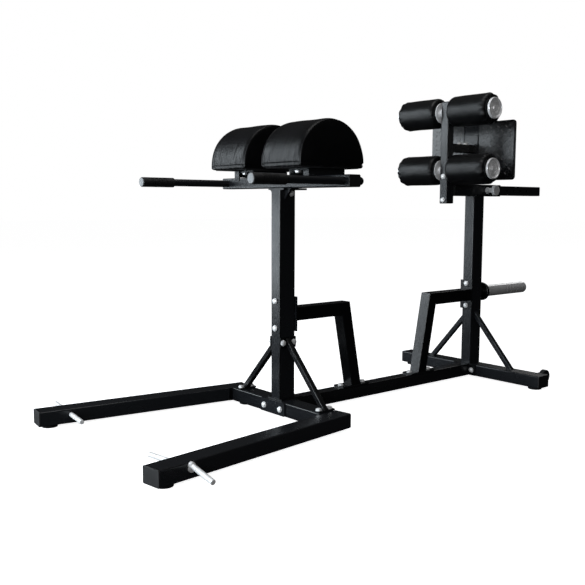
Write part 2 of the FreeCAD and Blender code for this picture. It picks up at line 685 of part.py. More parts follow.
def pin_barrel():
    """Threaded barrel welded to the guide's right side, bored for the pin and its spring."""
    barrel = fuse(rod(pin_point(0), pin_point(BARREL), BARREL_R), hexagon(pin_point(0), X_AXIS, 12.0, 9.0))
    barrel = barrel.cut(rod(pin_point(-1), pin_point(BARREL + 1), PIN_R + 0.06))
    return barrel.cut(rod(pin_point(0), pin_point(SPRING_ROOM), PIN_COLLAR_R + 0.4))


def pop_pin():
    """Plunger and pull knob. The tip stops just short of the slide tube."""
    tip = Vector(SLIDE_SIZE / 2 + 0.8, PIN_Y, SLIDE_Z)
    neck_start = BARREL + 0.6
    knob_start = neck_start + KNOB_NECK
    pin = rod(tip, pin_point(neck_start + 4), PIN_R)
    neck = rod(pin_point(neck_start), pin_point(knob_start), BARREL_R)
    knob = rod(pin_point(knob_start), pin_point(knob_start + KNOB), KNOB_R)
    rims = [edge for edge in knob.Edges if edge.Curve.TypeId == "Part::GeomCircle"]
    knob = knob.makeFillet(3.0, rims)
    return fuse(pin, neck, knob, rod(pin_point(2), pin_point(5), PIN_COLLAR_R))


def slide_tube():
    """Sliding beam with index holes on its right side and a flange for the upright."""
    front = UPRIGHT_Y + UPRIGHT / 2
    beam = tube(Vector(0, front + PLATE, SLIDE_Z), Vector(0, SLIDE_REAR, SLIDE_Z), X_AXIS,
                SLIDE_SIZE, SLIDE_SIZE, THIN_WALL, 4.0)
    z = (UPRIGHT_BOLTS[0] - BOLT_EDGE, UPRIGHT_BOLTS[1] + BOLT_EDGE)
    flange = block(around(0, UPRIGHT / 2), (front, front + PLATE), z)
    beam = fuse(beam, flange)
    for index in range(HOLE_COUNT):
        spot = Vector(0, PIN_Y + index * HOLE_PITCH, SLIDE_Z)
        beam = beam.cut(rod(spot, spot + X_AXIS * SLIDE_SIZE, PIN_R + 0.5))
    return drill(beam, UPRIGHT_SEATS, Y_AXIS, UPRIGHT_GRIP + 1)


def slide_cap():
    return end_cap(Vector(0, SLIDE_REAR, SLIDE_Z), Y_AXIS, X_AXIS, SLIDE_SIZE, SLIDE_SIZE, THIN_WALL)


def roller_upright():
    low = Vector(0, UPRIGHT_Y, UPRIGHT_LOW + CAP)
    high = Vector(0, UPRIGHT_Y, UPRIGHT_HIGH - CAP)
    upright = tube(low, high, X_AXIS, UPRIGHT, UPRIGHT, THIN_WALL, 4.0)
    for height in ROLLER_HEIGHTS.values():
        middle = Vector(0, UPRIGHT_Y, height)
        upright = upright.cut(rod(middle - X_AXIS * UPRIGHT, middle + X_AXIS * UPRIGHT, AXLE_R + AXLE_SLACK))
    return drill(upright, UPRIGHT_SEATS, Y_AXIS, UPRIGHT_GRIP + 1)


def upright_caps():
    high = end_cap(Vector(0, UPRIGHT_Y, UPRIGHT_HIGH - CAP), UP, X_AXIS, UPRIGHT, UPRIGHT, THIN_WALL)
    low = end_cap(Vector(0, UPRIGHT_Y, UPRIGHT_LOW + CAP), DOWN, X_AXIS, UPRIGHT, UPRIGHT, THIN_WALL, CAP)
    return [high, low]


def roller_axle(height):
    reach = ROLLER_OUTER + CAP_GAP
    return rod(Vector(-reach, UPRIGHT_Y, height), Vector(reach, UPRIGHT_Y, height), AXLE_R)


def roller(height):
    """Padded roller with soft edges; its bore turns on the axle."""
    start = Vector(ROLLER_INNER, UPRIGHT_Y, height)
    end = Vector(ROLLER_OUTER, UPRIGHT_Y, height)
    body = rod(start, end, ROLLER_R)
    rims = [edge for edge in body.Edges if edge.Curve.TypeId == "Part::GeomCircle"]
    body = body.makeFillet(ROLLER_EDGE, rims)
    return body.cut(rod(start, end, AXLE_R + RUNNING))


def roller_end_cap(height):
    """Dished metal disc on the axle's end, with a raised rim and a hex bolt in its middle."""
    face = Vector(ROLLER_OUTER + CAP_GAP, UPRIGHT_Y, height)
    disc = rod(face, face + X_AXIS * CAP_DISC, DISC_R)
    rims = [edge for edge in disc.Edges if edge.Curve.TypeId == "Part::GeomCircle"]
    disc = disc.makeFillet(2.5, rims)
    disc = disc.cut(Part.makeCone(DISC_R - 8.0, DISC_R - 6.0, 6.0, face + X_AXIS * 5.0, X_AXIS))
    return fuse(disc, hexagon(face + X_AXIS * 4.0, X_AXIS, 8.0, 5.5))


def roller_collar(height):
    """Dished disc and spacer between a roller and the upright."""
    face = Vector(UPRIGHT / 2, UPRIGHT_Y, height)
    inside = face + X_AXIS * SPACER
    spacer = rod(face, inside, 18.0)
    disc = rod(inside, inside + X_AXIS * DISC, DISC_R)
    rims = [edge for edge in disc.Edges if edge.Curve.TypeId == "Part::GeomCircle"]
    disc = disc.makeFillet(1.5, rims)
    return fuse(spacer, disc).cut(rod(face - X_AXIS, face + X_AXIS * 20, AXLE_R + AXLE_SLACK))


def foot_arm():
    """Short beam from the upright back to the foot plate, with a flange at its rear."""
    front = Vector(0, UPRIGHT_Y + UPRIGHT / 2, FOOT_ARM_Z)
    rear = Vector(0, PLATE_FRONT - PLATE, FOOT_ARM_Z)
    beam = tube(front, rear, X_AXIS, FOOT_ARM, FOOT_ARM, THIN_WALL, 4.0)
    flange = block(around(0, 34.0), (rear.y, PLATE_FRONT), around(FOOT_ARM_Z + 6.0, 52.0))
    return drill(fuse(beam, flange), FOOT_ARM_SEATS, DOWN, FLOOR_TAIL)


def foot_plate():
    plate = block(around(0, PLATE_HALF), (PLATE_FRONT, PLATE_FRONT + 5.0), (PLATE_LOW, PLATE_HIGH))
    corners = [edge for edge in plate.Edges if abs(edge.tangentAt(edge.FirstParameter).y) > 0.9]
    return plate.makeFillet(15.0, corners)


def foot_tread():
    """Rubber sheet on one half of the foot plate."""
    x = (TREAD_INNER, PLATE_HALF - TREAD_EDGE)
    z = (PLATE_LOW + TREAD_EDGE, PLATE_HIGH - TREAD_EDGE)
    sheet = block(x, (PLATE_FRONT - TREAD, PLATE_FRONT), z)
    corners = [edge for edge in sheet.Edges if abs(edge.tangentAt(edge.FirstParameter).y) > 0.9]
    return sheet.makeFillet(10.0, corners)


# ---- weight sleeve and transport wheels --------------------------------------------
def sleeve_stub():
    """Inner pipe welded to the rear post, with a stop disc for the plates."""
    pipe = rod(sleeve_point(0), sleeve_point(STUB), SLEEVE_R - SLEEVE_WALL - GAP)
    root = rod(sleeve_point(0), sleeve_point(STOP_START), SLEEVE_R)
    disc = rod(sleeve_point(STOP_START), sleeve_point(STOP_END), STOP_R)
    rims = [edge for edge in disc.Edges if edge.Curve.TypeId == "Part::GeomCircle"]
    return fuse(pipe, disc.makeFillet(3.0, rims), root)


def sleeve_point(behind):
    """Point on the weight sleeve's axis, measured from the rear post's face."""
    return Vector(0, REAR_Y + WIDE / 2 + behind, SLEEVE_Z)


def weight_sleeve():
    end = STOP_END + SLEEVE_LENGTH
    return ring(sleeve_point(STOP_END), sleeve_point(end), SLEEVE_R, SLEEVE_R - SLEEVE_WALL)


def weight_sleeve_cap():
    end = sleeve_point(STOP_END + SLEEVE_LENGTH)
    cap = rod(end, end + Y_AXIS * CAP, SLEEVE_R - 0.5)
    outer = [edge for edge in cap.Edges if edge.Closed and edge.CenterOfMass.y > end.y + CAP - 0.1]
    cap = cap.makeFillet(2.0, outer)
    return fuse(cap, rod(end + BACK * CAP_PLUG, end, SLEEVE_R - SLEEVE_WALL - GAP))


def wheel_bracket():
    """Two ears behind the rear floor tube that carry the wheel axle."""
    back = REAR_Y + WIDE / 2
    z = (WHEEL_Z - 14.0, BASE_TOP - 2.0)
    inner = WHEEL_X - WHEEL_WIDE / 2 - EAR_GAP - EAR
    outer = WHEEL_X + WHEEL_WIDE / 2 + EAR_GAP + EAR
    ears = [block((x, x + EAR), (back, WHEEL_Y + 12.0), z) for x in (inner, outer - EAR)]
    bracket = fuse(block((inner, outer), (back, back + 3.0), z), *ears)
    return bracket.cut(rod(wheel_point(-WHEEL_WIDE), wheel_point(WHEEL_WIDE), WHEEL_AXLE_R + AXLE_SLACK))


def wheel_point(outwards):
    """Point on the right wheel's axis, measured from the wheel's middle."""
    return Vector(WHEEL_X + outwards, WHEEL_Y, WHEEL_Z)


def wheel_axle():
    half = WHEEL_WIDE / 2 + EAR_GAP + EAR
    shaft = rod(wheel_point(-half), wheel_point(half), WHEEL_AXLE_R)
    head = hexagon(wheel_point(half), X_AXIS, 7.0, 5.0)
    return fuse(shaft, head, hexagon(wheel_point(-half), X_AXIS * -1, 7.0, 5.0))


def transport_wheel():
    start = wheel_point(-WHEEL_WIDE / 2)
    end = wheel_point(WHEEL_WIDE / 2)
    wheel = rod(start, end, WHEEL_R)
    rims = [edge for edge in wheel.Edges if edge.Curve.TypeId == "Part::GeomCircle"]
    wheel = wheel.makeFillet(3.0, rims)
    for face, inward in ((start, X_AXIS), (end, X_AXIS * -1)):
        wheel = wheel.cut(ring(face, face + inward * 3.0, 19.0, 9.0))
    return wheel.cut(rod(start, end, WHEEL_AXLE_R + RUNNING))


# ---- fasteners ---------------------------------------------------------------------
def frame_bolts():
    """Every through bolt of the floor frame and the posts, with its washers and nut."""
    bolts = []
    for seats, into, grip in (
        (CLAMP_SEATS, Y_AXIS, CLAMP_GRIP),
        (BEAM_SEATS, Y_AXIS, BEAM_GRIP),
        (FRONT_STEP_SEATS, Y_AXIS, WIDE + PLATE),
        (REAR_STEP_SEATS, Y_AXIS, WIDE + PLATE),
        (BRACE_TOP_SEATS, X_AXIS * -1, BRACE_TOP_GRIP),
        (SPIGOT_SEATS, X_AXIS * -1, HIGH),
    ):
        bolts += [bolt(seat, into, grip) for seat in seats]
    return bolts


def floor_bolts():
    """Vertical bolts; their tails stop inside the tubes, in rivet nuts."""
    feet = [bolt(seat, DOWN, FLOOR_TAIL, nut=False) for seat in STEP_FOOT_SEATS]
    for foot_x in (RIGHT_BRACE_FOOT, -LEFT_BRACE_FOOT):
        feet += [bolt(seat, DOWN, FLOOR_TAIL, nut=False) for seat in brace_foot_seats(foot_x)]
    return feet


def carriage_bolts():
    bolts = [bolt(seat, Y_AXIS, UPRIGHT_GRIP) for seat in UPRIGHT_SEATS]
    return bolts + [bolt(seat, DOWN, 12.0, nut=False) for seat in FOOT_ARM_SEATS]


def pad_bolts():
    bolts = []
    for seat in PAD_SEATS:
        one = bolt(seat, UP, PLATE + 8.0, nut=False)
        bolts += [one, mirrored(one)]
    return bolts


def both(name, shape):
    """Save the right-hand piece and its mirror image on the left."""
    save(name + "_right", shape)
    save(name + "_left", mirrored(shape))


def save_floor_frame():
    both("front_leg", front_leg())
    save("band_peg_right", drooping_peg())
    save("band_peg_left", mirrored(straight_peg()))
    save("leg_end_caps", *leg_caps())
    save("front_cross_beam", front_cross_beam())
    save("front_clamp_plate", front_clamp_plate())
    save("main_beam", main_beam())
    save("rear_cross_beam", rear_cross_beam())
    save("rear_beam_caps", *rear_beam_caps())
    save("rubber_feet", *rubber_feet())


def save_posts():
    save("front_post", front_post())
    save("rear_post", rear_post())
    save("front_brace_right", front_brace(RIGHT_BRACE_FOOT))
    save("front_brace_left", mirrored(front_brace(LEFT_BRACE_FOOT)))
    both("rear_brace", rear_brace())
    save("front_step", step(FRONT_Y + WIDE / 2, 1, FRONT_STEP_SEATS, STEP_FOOT_SEATS[:2]))
    save("rear_step", step(REAR_FACE, -1, REAR_STEP_SEATS, STEP_FOOT_SEATS[2:]))


def save_hip_end():
    save("top_arm", top_arm())
    save("top_arm_caps", *top_arm_caps())
    both("handle", handle())
    both("handle_grip", grip())
    save("handle_plugs", handle_plug(), mirrored(handle_plug()))
    save("handle_rear_caps", handle_rear_cap(), mirrored(handle_rear_cap()))
    save("pad_brackets", hip_pad_bracket(), mirrored(hip_pad_bracket()))
    save("pad_boards", pad_board(), mirrored(pad_board()))
    both("hip_pad", hip_pad())
    save("pad_bolts", *pad_bolts())


def save_ankle_end():
    save("guide_sleeve", guide_sleeve())
    save("guide_bushes", guide_bush(GUIDE_FRONT, -1), guide_bush(GUIDE_REAR, 1))
    save("pin_barrel", pin_barrel())
    save("pop_pin", pop_pin())
    save("slide_tube", slide_tube())
    save("slide_tube_cap", slide_cap())
    save("roller_upright", roller_upright())
    save("upright_caps", *upright_caps())
    for level, height in ROLLER_HEIGHTS.items():
        both(level + "_roller", roller(height))
    save("roller_axles", *[roller_axle(height) for height in ROLLER_HEIGHTS.values()])
    discs = [roller_end_cap(height) for height in ROLLER_HEIGHTS.values()]
    collars = [roller_collar(height) for height in ROLLER_HEIGHTS.values()]
    save("roller_end_caps", *discs, *[mirrored(disc) for disc in discs])
    save("roller_collars", *collars, *[mirrored(collar) for collar in collars])
    save("foot_arm", foot_arm())
    save("foot_plate", foot_plate())
    save("foot_treads", foot_tread(), mirrored(foot_tread()))
    save("carriage_bolts", *carriage_bolts())


def save_sleeve_and_wheels():
    save("sleeve_stub", sleeve_stub())
    save("weight_sleeve", weight_sleeve())
    save("weight_sleeve_cap", weight_sleeve_cap())
    save("wheel_brackets", wheel_bracket(), mirrored(wheel_bracket()))
    save("wheel_axles", wheel_axle(), mirrored(wheel_axle()))
    both("transport_wheel", transport_wheel())


os.makedirs("parts", exist_ok=True)
save_floor_frame()
save_posts()
save_hip_end()
save_ankle_end()
save_sleeve_and_wheels()
save("frame_bolts", *frame_bolts(), *floor_bolts())
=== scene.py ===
import json
import math

import bmesh
import bpy
from mathutils import Matrix, Vector, noise
from mathutils.bvhtree import BVHTree


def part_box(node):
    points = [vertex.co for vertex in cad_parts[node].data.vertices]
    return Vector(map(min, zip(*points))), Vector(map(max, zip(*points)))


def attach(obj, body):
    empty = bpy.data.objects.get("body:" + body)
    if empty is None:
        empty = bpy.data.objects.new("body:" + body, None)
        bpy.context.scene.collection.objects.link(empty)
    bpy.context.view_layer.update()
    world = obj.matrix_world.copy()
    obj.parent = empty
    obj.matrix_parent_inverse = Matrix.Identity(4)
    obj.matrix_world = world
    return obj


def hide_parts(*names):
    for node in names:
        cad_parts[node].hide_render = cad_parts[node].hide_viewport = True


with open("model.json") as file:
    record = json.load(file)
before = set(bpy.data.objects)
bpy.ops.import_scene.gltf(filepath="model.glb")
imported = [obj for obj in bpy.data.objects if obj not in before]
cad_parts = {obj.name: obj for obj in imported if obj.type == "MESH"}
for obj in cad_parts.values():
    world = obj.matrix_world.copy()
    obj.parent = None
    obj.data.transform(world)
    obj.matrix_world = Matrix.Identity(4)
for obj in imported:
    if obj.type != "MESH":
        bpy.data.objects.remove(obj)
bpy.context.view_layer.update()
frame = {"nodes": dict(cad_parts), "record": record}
SCENE = bpy.context.scene


def place(node):
    """Lowest and highest corner of a CAD node, as vectors."""
    low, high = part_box(node)
    return Vector(low), Vector(high)


# ---- node helpers ------------------------------------------------------------------
def add_node(tree, kind, **inputs):
    """Shader node with its inputs and properties set by name; underscores stand for spaces."""
    node = tree.nodes.new("ShaderNode" + kind)
    for name, value in inputs.items():
        label = name.replace("_", " ")
        if label in node.inputs:
            node.inputs[label].default_value = value
        else:
            setattr(node, name, value)
    return node


def start_material(name, **surface):
    """Principled material with constants on the shader's own sockets."""
    material = bpy.data.materials.new(name)
    material.use_nodes = True
    tree = material.node_tree
    shader = tree.nodes["Principled BSDF"]
    for socket, value in surface.items():
        shader.inputs[socket.replace("_", " ")].default_value = value
    return material, tree, shader


def coordinates(tree, scale=(1.0, 1.0, 1.0)):
    """Object coordinates in metres, stretched by scale."""
    source = add_node(tree, "TexCoord")
    mapping = add_node(tree, "Mapping", Scale=scale)
    tree.links.new(source.outputs["Object"], mapping.inputs["Vector"])
    return mapping.outputs["Vector"]


def noise_field(tree, place_socket, scale, detail=4.0, roughness=0.55):
    """Noise from 0 to 1 with scale cells to the metre."""
    field = add_node(tree, "TexNoise", Scale=scale, Detail=detail, Roughness=roughness)
    tree.links.new(place_socket, field.inputs["Vector"])
    return field.outputs["Fac"]


def remap(tree, value, low, high, to_low, to_high):
    """Stretch the range low..high of a value to to_low..to_high, and clamp it there."""
    ramp = add_node(tree, "MapRange", From_Min=low, From_Max=high, To_Min=to_low, To_Max=to_high)
    tree.links.new(value, ramp.inputs["Value"])
    return ramp.outputs["Result"]


def mix_colour(tree, factor, first, second):
    """Blend of two colours, each a tuple or a socket."""
    mix = tree.nodes.new("ShaderNodeMix")
    mix.data_type = "RGBA"
    tree.links.new(factor, mix.inputs["Factor"])
    for socket, colour in ((mix.inputs["A"], first), (mix.inputs["B"], second)):
        if isinstance(colour, tuple):
            socket.default_value = (*colour, 1.0)
        else:
            tree.links.new(colour, socket)
    return mix.outputs["Result"]


def bump(tree, height, depth, strength=1.0, under=None):
    """Normal bent by a height field of this depth in metres, on top of an earlier normal."""
    node = add_node(tree, "Bump", Distance=depth, Strength=strength)
    tree.links.new(height, node.inputs["Height"])
    if under is not None:
        tree.links.new(under, node.inputs["Normal"])
    return node.outputs["Normal"]


def edge_mask(tree, low=0.52, high=0.60):
    """White on convex edges, from the surface's pointiness."""
    geometry = add_node(tree, "NewGeometry")
    return remap(tree, geometry.outputs["Pointiness"], low, high, 0.0, 1.0)


# ---- materials ---------------------------------------------------------------------
def powder_coat():
    """Black satin powder coat: orange peel, faint dust, and a painted highlight that lightens convex edges.
    """
    material, tree, shader = start_material("black_powder_coat", IOR=1.45, Specular_IOR_Level=0.42)
    where = coordinates(tree)
    cloud = noise_field(tree, where, 9.0, 5.0)
    grain = noise_field(tree, where, 900.0, 2.0)
    dusty = remap(tree, cloud, 0.35, 0.75, 0.0, 1.0)
    dust = mix_colour(tree, dusty, (0.0008, 0.0009, 0.0012), (0.0018, 0.0020, 0.0026))
    # painted highlight: convex edges found by pointiness are lightened to a cool grey, in place of the
    # lamps' glint on rounded corners
    painted_edge_highlight = mix_colour(tree, edge_mask(tree), dust, (0.010, 0.011, 0.013))
    tree.links.new(painted_edge_highlight, shader.inputs["Base Color"])
    tree.links.new(remap(tree, cloud, 0.3, 0.7, 0.21, 0.29), shader.inputs["Roughness"])
    tree.links.new(bump(tree, grain, 0.00025, 0.35), shader.inputs["Normal"])
    return material


def moulded_plastic(name, colour, roughness=0.5):
    """Matt plastic: fine spark texture, and pale clouds in the colour."""
    material, tree, shader = start_material(name, IOR=1.46)
    where = coordinates(tree)
    cloud = noise_field(tree, where, 30.0, 3.0)
    spark = noise_field(tree, where, 1400.0, 2.0)
    pale = tuple(min(1.0, 1.6 * part + 0.001) for part in colour)
    tint = mix_colour(tree, remap(tree, cloud, 0.35, 0.7, 0.0, 1.0), colour, pale)
    tree.links.new(tint, shader.inputs["Base Color"])
    rough = remap(tree, spark, 0.3, 0.7, roughness - 0.06, roughness + 0.08)
    tree.links.new(rough, shader.inputs["Roughness"])
    tree.links.new(bump(tree, spark, 0.0002, 0.4), shader.inputs["Normal"])
    return material


def rubber(name, roughness, gloss):
    """Black moulded rubber with open pores; gloss is the strength of its reflections."""
    material, tree, shader = start_material(name, IOR=1.5, Specular_IOR_Level=gloss)
    where = coordinates(tree)
    cloud = noise_field(tree, where, 22.0, 4.0)
    pores = noise_field(tree, where, 700.0, 3.0)
    faded = remap(tree, cloud, 0.35, 0.7, 0.0, 1.0)
    tint = mix_colour(tree, faded, (0.0018, 0.0018, 0.0021), (0.0042, 0.0042, 0.0047))
    tree.links.new(tint, shader.inputs["Base Color"])
    rough = remap(tree, pores, 0.3, 0.7, roughness - 0.08, roughness + 0.08)
    tree.links.new(rough, shader.inputs["Roughness"])
    tree.links.new(bump(tree, pores, 0.0004, 0.5), shader.inputs["Normal"])
    return material


def zinc_steel():
    """Bright zinc plate with a faint cloudy sheen."""
    material, tree, shader = start_material("zinc_steel", Metallic=0.20)
    where = coordinates(tree)
    cloud = noise_field(tree, where, 120.0, 4.0)
    clouded = remap(tree, cloud, 0.3, 0.7, 0.0, 1.0)
    tint = mix_colour(tree, clouded, (0.78, 0.78, 0.79), (0.94, 0.94, 0.93))
    tree.links.new(tint, shader.inputs["Base Color"])
    tree.links.new(remap(tree, cloud, 0.3, 0.7, 0.26, 0.42), shader.inputs["Roughness"])
    fine = noise_field(tree, where, 1500.0, 2.0)
    tree.links.new(bump(tree, fine, 0.0001, 0.4), shader.inputs["Normal"])
    return material


def chrome(name, metallic, bright, dull):
    """Chrome plate over turned steel: smudges dull it, and fine turning lines blur it."""
    material, tree, shader = start_material(name, Metallic=metallic)
    where = coordinates(tree)
    smudge = noise_field(tree, where, 18.0, 6.0, 0.65)
    tint = mix_colour(tree, remap(tree, smudge, 0.35, 0.7, 0.0, 1.0), bright, dull)
    tree.links.new(tint, shader.inputs["Base Color"])
    tree.links.new(remap(tree, smudge, 0.4, 0.75, 0.20, 0.34), shader.inputs["Roughness"])
    fine = noise_field(tree, where, 1800.0, 2.0)
    tree.links.new(bump(tree, fine, 0.0001, 0.3), shader.inputs["Normal"])
    return material


def vinyl(name, gloss):
    """Glossy black upholstery vinyl with a leather grain."""
    material, tree, shader = start_material(name, IOR=1.5, Specular_IOR_Level=gloss)
    where = coordinates(tree)
    cells = add_node(tree, "TexVoronoi", Scale=420.0, feature="SMOOTH_F1")
    tree.links.new(where, cells.inputs["Vector"])
    cloud = noise_field(tree, where, 14.0, 4.0)
    crease = noise_field(tree, where, 160.0, 5.0, 0.6)
    faded = remap(tree, cloud, 0.35, 0.7, 0.0, 1.0)
    tint = mix_colour(tree, faded, (0.0010, 0.0011, 0.0014), (0.0022, 0.0023, 0.0029))
    tree.links.new(tint, shader.inputs["Base Color"])
    tree.links.new(remap(tree, cloud, 0.3, 0.7, 0.34, 0.43), shader.inputs["Roughness"])
    grain = bump(tree, cells.outputs["Distance"], 0.0006, 0.5)
    tree.links.new(bump(tree, crease, 0.0008, 0.35, grain), shader.inputs["Normal"])
    return material


def dust_cloth():
    """Thin black woven cloth, stapled over the pad's board."""
    material, tree, shader = start_material("board_cloth", Roughness=0.85, Specular_IOR_Level=0.2)
    where = coordinates(tree)
    warp = add_node(tree, "TexWave", Scale=620.0, Distortion=0.4, Detail=1.0, bands_direction="X")
    weft = add_node(tree, "TexWave", Scale=620.0, Distortion=0.4, Detail=1.0, bands_direction="Y")
    weave = add_node(tree, "Math", operation="MAXIMUM")
    for index, thread in enumerate((warp, weft)):
        tree.links.new(where, thread.inputs["Vector"])
        tree.links.new(thread.outputs["Fac"], weave.inputs[index])
    tint = mix_colour(tree, weave.outputs["Value"], (0.004, 0.004, 0.004), (0.014, 0.014, 0.015))
    tree.links.new(tint, shader.inputs["Base Color"])
    tree.links.new(bump(tree, weave.outputs["Value"], 0.0003, 0.6), shader.inputs["Normal"])
    return material


PAINT = powder_coat()
PLASTIC = moulded_plastic("black_plastic", (0.004, 0.004, 0.0045))
PALE_PLASTIC = moulded_plastic("pale_plastic", (0.16, 0.165, 0.17))
RUBBER = rubber("black_rubber", 0.60, 0.45)
TREAD_RUBBER = rubber("tread_rubber", 0.34, 0.75)
ZINC = zinc_steel()
CHROME = chrome("chrome", 0.2, (0.96, 0.96, 0.97), (0.84, 0.84, 0.85))
SLEEVE_CHROME = chrome("sleeve_chrome", 0.45, (0.94, 0.94, 0.95), (0.82, 0.82, 0.83))
BRIGHT_RIM = chrome("bright_rim", 0.35, (0.96, 0.96, 0.96), (0.90, 0.90, 0.91))
VINYL = vinyl("black_vinyl", 0.32)
PAD_VINYL = vinyl("pad_vinyl", 0.22)
BOARD_CLOTH = dust_cloth()

FINISHES = {
    "black_paint": PAINT,
    "zinc_steel": ZINC,
    "chrome": CHROME,
    "black_vinyl": VINYL,
    "board_cloth": BOARD_CLOTH,
    "black_rubber": RUBBER,
    "black_plastic": PLASTIC,
    "pale_plastic": PALE_PLASTIC,
}


def dress_frame():
    """Give every CAD node the finish of its material slot."""
    for part in frame["record"]["subparts"]:
        node = frame["nodes"][part["node"]]
        node.data.materials.clear()
        node.data.materials.append(FINISHES[part["material_slot"]])
    for name, finish in (("foot_treads", TREAD_RUBBER), ("weight_sleeve", SLEEVE_CHROME)):
        frame["nodes"][name].data.materials[0] = finish


# ---- mesh helpers and swelling skins -----------------------------------------------
SMOOTHING = 2           # passes that take the voxel steps out of a remeshed skin
CLOTH_QUALITY = 6       # solver steps per frame
CLOTH_FRAMES = 20       # the skin has settled by then
STRETCH_STIFFNESS = 25.0
BEND_STIFFNESS = 1.5
SAME_POINT = 0.00001    # points closer than this are one


def new_piece(name, mesh, material, body):
    """Smooth-shaded object that rides on a body and takes its finish from a slot."""
    piece = bpy.data.objects.new(name, mesh)
    SCENE.collection.objects.link(piece)
    mesh.materials.append(material)
    mesh.shade_smooth()
    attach(piece, body)
    return piece


def finished(obj):
    """Mesh of an object with its modifiers applied."""
    graph = bpy.context.evaluated_depsgraph_get()
    return bpy.data.meshes.new_from_object(obj.evaluated_get(graph))


def quarter_turn(steps):
    """Evenly spaced angles from 0 to a right angle, both included."""
    return [math.pi / 2 * step / steps for step in range(steps + 1)]


def spoke(angle):
    """Unit vector square to the X axis."""
    return Vector((0.0, math.cos(angle), math.sin(angle)))


def full_turn(steps):
    """Evenly spaced angles once round, without the closing one."""
    return [2 * math.pi * step / steps for step in range(steps)]


def lofted(rings, closed_ends=True):
    """Mesh through rings of points; every ring is a closed loop of the same length."""
    mesh = bpy.data.meshes.new("loft")
    count = len(rings[0])
    points = [point for ring in rings for point in ring]
    faces = []
    for row in range(len(rings) - 1):
        for column in range(count):
            following = (column + 1) % count
            faces.append((row * count + column, row * count + following,
                          (row + 1) * count + following, (row + 1) * count + column))
    if closed_ends:
        faces.append(tuple(reversed(range(count))))
        faces.append(tuple((len(rings) - 1) * count + column for column in range(count)))
    mesh.from_pydata(points, [], faces)
    return mesh


def fit_to(mesh, low, high):
    """Stretch a mesh so that its box is exactly from low to high."""
    for axis in range(3):
        places = [vertex.co[axis] for vertex in mesh.vertices]
        start, end = min(places), max(places)
        stretch = (high[axis] - low[axis]) / (end - start)
        for vertex in mesh.vertices:
            vertex.co[axis] = low[axis] + (vertex.co[axis] - start) * stretch


def apply_modifiers(skin):
    """Replace an object's mesh by what its modifiers make of it."""
    result = finished(skin)
    skin.modifiers.clear()
    skin.data = result


def even_out(skin, voxel):
    """Remesh a closed skin with faces of one size, and take out the voxel steps."""
    remesh = skin.modifiers.new("even", "REMESH")
    remesh.mode = "VOXEL"
    remesh.voxel_size = voxel
    apply_modifiers(skin)
    smooth = skin.modifiers.new("smooth", "SMOOTH")
    smooth.iterations = SMOOTHING
    apply_modifiers(skin)


def blow_up(skin, pinned, pressure):
    """Mesh of the skin after a cloth simulation with air pressure inside; pinned points stay."""
    stay = [vertex.index for vertex in skin.data.vertices if pinned(vertex.co)]
    held = skin.vertex_groups.new(name="held")
    held.add(stay, 1.0, "REPLACE")
    cloth = skin.modifiers.new("cloth", "CLOTH")
    cloth.settings.quality = CLOTH_QUALITY
    cloth.settings.vertex_group_mass = "held"
    cloth.settings.use_pressure = True
    cloth.settings.uniform_pressure_force = pressure
    cloth.settings.tension_stiffness = STRETCH_STIFFNESS
    cloth.settings.compression_stiffness = STRETCH_STIFFNESS
    cloth.settings.bending_stiffness = BEND_STIFFNESS
    cloth.settings.effector_weights.gravity = 0.0
    cloth.collision_settings.use_collision = False
    for step in range(1, CLOTH_FRAMES + 1):
        SCENE.frame_set(step)
    return finished(skin)


def swell(mesh, voxel, pinned, pressure, most):
    """Remesh a closed skin evenly and let it swell under air pressure.

    Points for which pinned(point) is true stay; no other point moves further than most.
    """
    skin = bpy.data.objects.new("skin", mesh)
    SCENE.collection.objects.link(skin)
    even_out(skin, voxel)
    swollen = blow_up(skin, pinned, pressure)
    SCENE.frame_set(1)
    for vertex, after in zip(skin.data.vertices, swollen.vertices):
        move = after.co - vertex.co
        if move.length > most:
            move = move * (most / move.length)
        vertex.co = vertex.co + move
    skin.modifiers.clear()
    finer = skin.modifiers.new("finer", "SUBSURF")
    finer.levels = 1
    result = finished(skin)
    bpy.data.objects.remove(skin)
    return result


def ruffle(mesh, push):
    """Move every vertex along its normal by push(point), in metres."""
    moves = [vertex.normal * push(vertex.co) for vertex in mesh.vertices]
    for vertex, move in zip(mesh.vertices, moves):
        vertex.co += move


def ease(value, low, high):
    """0 below low, 1 above high, and a smooth step between."""
    share = min(1.0, max(0.0, (value - low) / (high - low)))
    return share * share * (3.0 - 2.0 * share)


def transformed(mesh, matrix):
    """Copy of a mesh moved by a matrix, with its faces outwards after a mirroring too."""
    copy = mesh.copy()
    copy.transform(matrix)
    if matrix.determinant() < 0:
        copy.flip_normals()
    return copy


def welt(name, points, radius, closed=False):
    """Round cord mesh along points, for piping and seams."""
    curve = bpy.data.curves.new(name, "CURVE")
    curve.dimensions = "3D"
    curve.bevel_depth = radius
    curve.bevel_resolution = 3
    curve.use_fill_caps = True
    spline = curve.splines.new("POLY")
    spline.points.add(len(points) - 1)
    for target, point in zip(spline.points, points):
        target.co = (*point, 1.0)
    spline.use_cyclic_u = closed
    holder = bpy.data.objects.new(name, curve)
    SCENE.collection.objects.link(holder)
    mesh = finished(holder)
    bpy.data.objects.remove(holder)
    return mesh


def joined(meshes):
    """One mesh made of several."""
    builder = bmesh.new()
    for mesh in meshes:
        builder.from_mesh(mesh)
    result = bpy.data.meshes.new("joined")
    builder.to_mesh(result)
    builder.free()
    return result


def welded(mesh):
    """Merge doubled points and point every face outwards."""
    builder = bmesh.new()
    builder.from_mesh(mesh)
    bmesh.ops.remove_doubles(builder, verts=builder.verts, dist=SAME_POINT)
    bmesh.ops.recalc_face_normals(builder, faces=builder.faces)
    builder.to_mesh(mesh)
    builder.free()
    return mesh


def mirror_x():
    """Mirroring in the YZ plane."""
    return Matrix.Diagonal((-1.0, 1.0, 1.0, 1.0))


